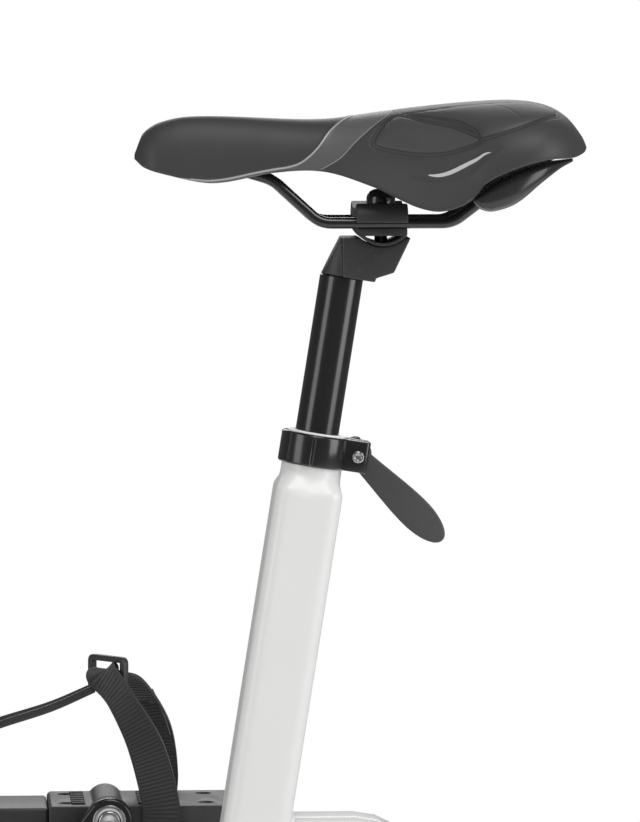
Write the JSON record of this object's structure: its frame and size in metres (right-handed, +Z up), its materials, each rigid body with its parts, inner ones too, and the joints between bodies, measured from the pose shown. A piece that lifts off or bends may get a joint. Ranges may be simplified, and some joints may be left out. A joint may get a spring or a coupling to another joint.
{
  "type": "exercise bike",
  "caption": "Indoor exercise bike: front flywheel, belt drive, toe-cage pedals with straps, and a saddle on a sliding post held by a quick-release collar.",
  "frame": {"origin": "on the floor, under the middle of the bike's overall box", "axes": "+X towards the front (the flywheel), +Y towards the rider's left, +Z up"},
  "size_m": [1.114, 0.538, 1.0764],
  "materials": {
    "white_paint": "smooth satin powder coat, near white",
    "grey_paint": "smooth satin powder coat, light grey",
    "black_gloss": "glossy black",
    "black_metal": "black anodised, half gloss",
    "black_plastic": "moulded, fine matt grain",
    "dark_plastic": "moulded, dark grey, matt",
    "gloss_plastic": "moulded, glossy black",
    "white_plastic": "moulded, satin white",
    "saddle_vinyl": "grained synthetic leather in three greys",
    "webbing": "ribbed woven webbing",
    "bright_steel": "plated",
    "chrome": "polished",
    "iron": "turned and painted dark",
    "rubber": "matt black"
  },
  "bodies": {
    "frame": {"main_beam": "white_paint", "seat_tube": "white_paint", "rear_stay": "grey_paint", "head_tube": "white_paint", "left_fork_leg": "white_paint", "right_fork_leg": "white_paint", "rear_stabilizer": "white_paint", "front_stabilizer": "white_paint", "seat_bush": "white_plastic", "seat_collar": "black_gloss", "skewer": "bright_steel", "skewer_nut": "bright_steel", "left_bracket_bearing": "bright_steel", "right_bracket_bearing": "bright_steel", "drive_belt": "rubber", "belt_guard_cover": "white_plastic", "belt_guard_back": "white_plastic", "flywheel_axle": "bright_steel", "brake_bracket": "white_paint", "handlebar_bush": "black_plastic"},
    "seat_post": {"post_tube": "black_gloss", "post_head": "black_metal"},
    "saddle_clamp": {"lower_cradle": "black_metal", "upper_clamp": "black_metal", "clamp_bolt": "black_metal"},
    "saddle": {"saddle_rails": "black_gloss", "saddle_shell": "black_plastic", "saddle_pad": "saddle_vinyl", "left_saddle_bumper": "gloss_plastic", "right_saddle_bumper": "gloss_plastic"},
    "lever": {"quick_release_lever": "dark_plastic"},
    "cranks": {"crank_axle": "bright_steel", "drive_pulley": "black_plastic", "right_crank": "black_gloss", "left_crank": "black_gloss", "right_pedal_spindle": "bright_steel", "left_pedal_spindle": "bright_steel"},
    "right_pedal_body": {"right_pedal": "black_plastic", "right_toe_cage": "black_plastic", "right_toe_strap": "webbing"},
    "left_pedal_body": {"left_pedal": "black_plastic", "left_toe_cage": "black_plastic", "left_toe_strap": "webbing"},
    "flywheel_body": {"flywheel": "iron", "flywheel_pulley": "black_plastic"},
    "brake_stem": {"brake_rod": "bright_steel"},
    "brake_knob": {"resistance_knob": "black_plastic"},
    "brake_shoe": {"brake_pad": "rubber"},
    "handlebars": {"handlebar_post": "chrome", "handlebar": "black_gloss", "left_grip": "rubber", "right_grip": "rubber"},
    "height_knob": {"mast_knob": "black_plastic"},
    "rear_left_foot": {"rear_left_foot": "rubber"},
    "rear_right_foot": {"rear_right_foot": "rubber"},
    "front_left_foot": {"front_left_foot": "rubber"},
    "front_right_foot": {"front_right_foot": "rubber"},
    "left_wheel": {"left_transport_wheel": "rubber"},
    "right_wheel": {"right_transport_wheel": "rubber"}
  },
  "joints": [
    {"name": "seat_height", "type": "slide", "parent": "frame", "child": "seat_post", "axis": [-0.1564, 0, 0.9877], "range_m": [-0.08, 0.12]},
    {"name": "saddle_tilt", "type": "hinge", "parent": "seat_post", "child": "saddle_clamp", "pos_m": [-0.366, 0, 0.812], "axis": [0, 1, 0], "range_deg": [-6, 6]},
    {"name": "saddle_fore_aft", "type": "slide", "parent": "saddle_clamp", "child": "saddle", "axis": [1, 0, 0], "range_m": [-0.015, 0.015]},
    {"name": "lever_swing", "type": "hinge", "parent": "frame", "child": "lever", "pos_m": [-0.3511, -0.0205, 0.6599], "axis": [-0.7071, 0, 0.7071], "range_deg": [0, 120]},
    {"name": "flywheel_spin", "type": "hinge", "parent": "frame", "child": "flywheel_body", "pos_m": [0.367, 0, 0.3], "axis": [0, 1, 0], "continuous": true},
    {"name": "crank_spin", "type": "hinge", "parent": "frame", "child": "cranks", "pos_m": [-0.098, 0, 0.283], "axis": [0, 1, 0], "continuous": true},
    {"name": "right_pedal_spin", "type": "hinge", "parent": "cranks", "child": "right_pedal_body", "pos_m": [-0.19799, -0.136, 0.42048], "axis": [0, 1, 0], "continuous": true},
    {"name": "left_pedal_spin", "type": "hinge", "parent": "cranks", "child": "left_pedal_body", "pos_m": [0.00199, 0.136, 0.14552], "axis": [0, 1, 0], "continuous": true},
    {"name": "brake_press", "type": "slide", "parent": "frame", "child": "brake_stem", "axis": [0.4226, 0, -0.9063], "range_m": [0, 0.0019], "stiffness_N_per_m": 4000, "springref_m": -0.005},
    {"name": "brake_feed", "type": "slide", "parent": "brake_stem", "child": "brake_shoe", "axis": [0.4226, 0, -0.9063], "range_m": [0, 0.002]},
    {"name": "resistance_turn", "type": "hinge", "parent": "brake_stem", "child": "brake_knob", "pos_m": [0.22585, 0, 0.60271], "axis": [0.4226, 0, -0.9063], "range_deg": [0, 720]},
    {"name": "handlebar_height", "type": "slide", "parent": "frame", "child": "handlebars", "axis": [-0.1045, 0, 0.9945], "range_m": [-0.04, 0.1]},
    {"name": "height_knob_turn", "type": "hinge", "parent": "frame", "child": "height_knob", "pos_m": [0.11098, 0, 0.58971], "axis": [-0.9945, 0, -0.1045], "range_deg": [0, 360]},
    {"name": "rear_left_foot_screw", "type": "slide", "parent": "frame", "child": "rear_left_foot", "axis": [0, 0, -1], "range_m": [0, 0.012]},
    {"name": "rear_right_foot_screw", "type": "slide", "parent": "frame", "child": "rear_right_foot", "axis": [0, 0, -1], "range_m": [0, 0.012]},
    {"name": "front_left_foot_screw", "type": "slide", "parent": "frame", "child": "front_left_foot", "axis": [0, 0, -1], "range_m": [0, 0.012]},
    {"name": "front_right_foot_screw", "type": "slide", "parent": "frame", "child": "front_right_foot", "axis": [0, 0, -1], "range_m": [0, 0.012]},
    {"name": "left_wheel_spin", "type": "hinge", "parent": "frame", "child": "left_wheel", "pos_m": [0.452, 0.257, 0.036], "axis": [0, 1, 0], "continuous": true},
    {"name": "right_wheel_spin", "type": "hinge", "parent": "frame", "child": "right_wheel", "pos_m": [0.452, -0.257, 0.036], "axis": [0, 1, 0], "continuous": true}
  ],
  "couplings": [
    {"joint": "crank_spin", "follows": "flywheel_spin", "ratio": 0.25},
    {"joint": "resistance_turn", "follows": "brake_feed", "rad_per_m": 6283}
  ]
}
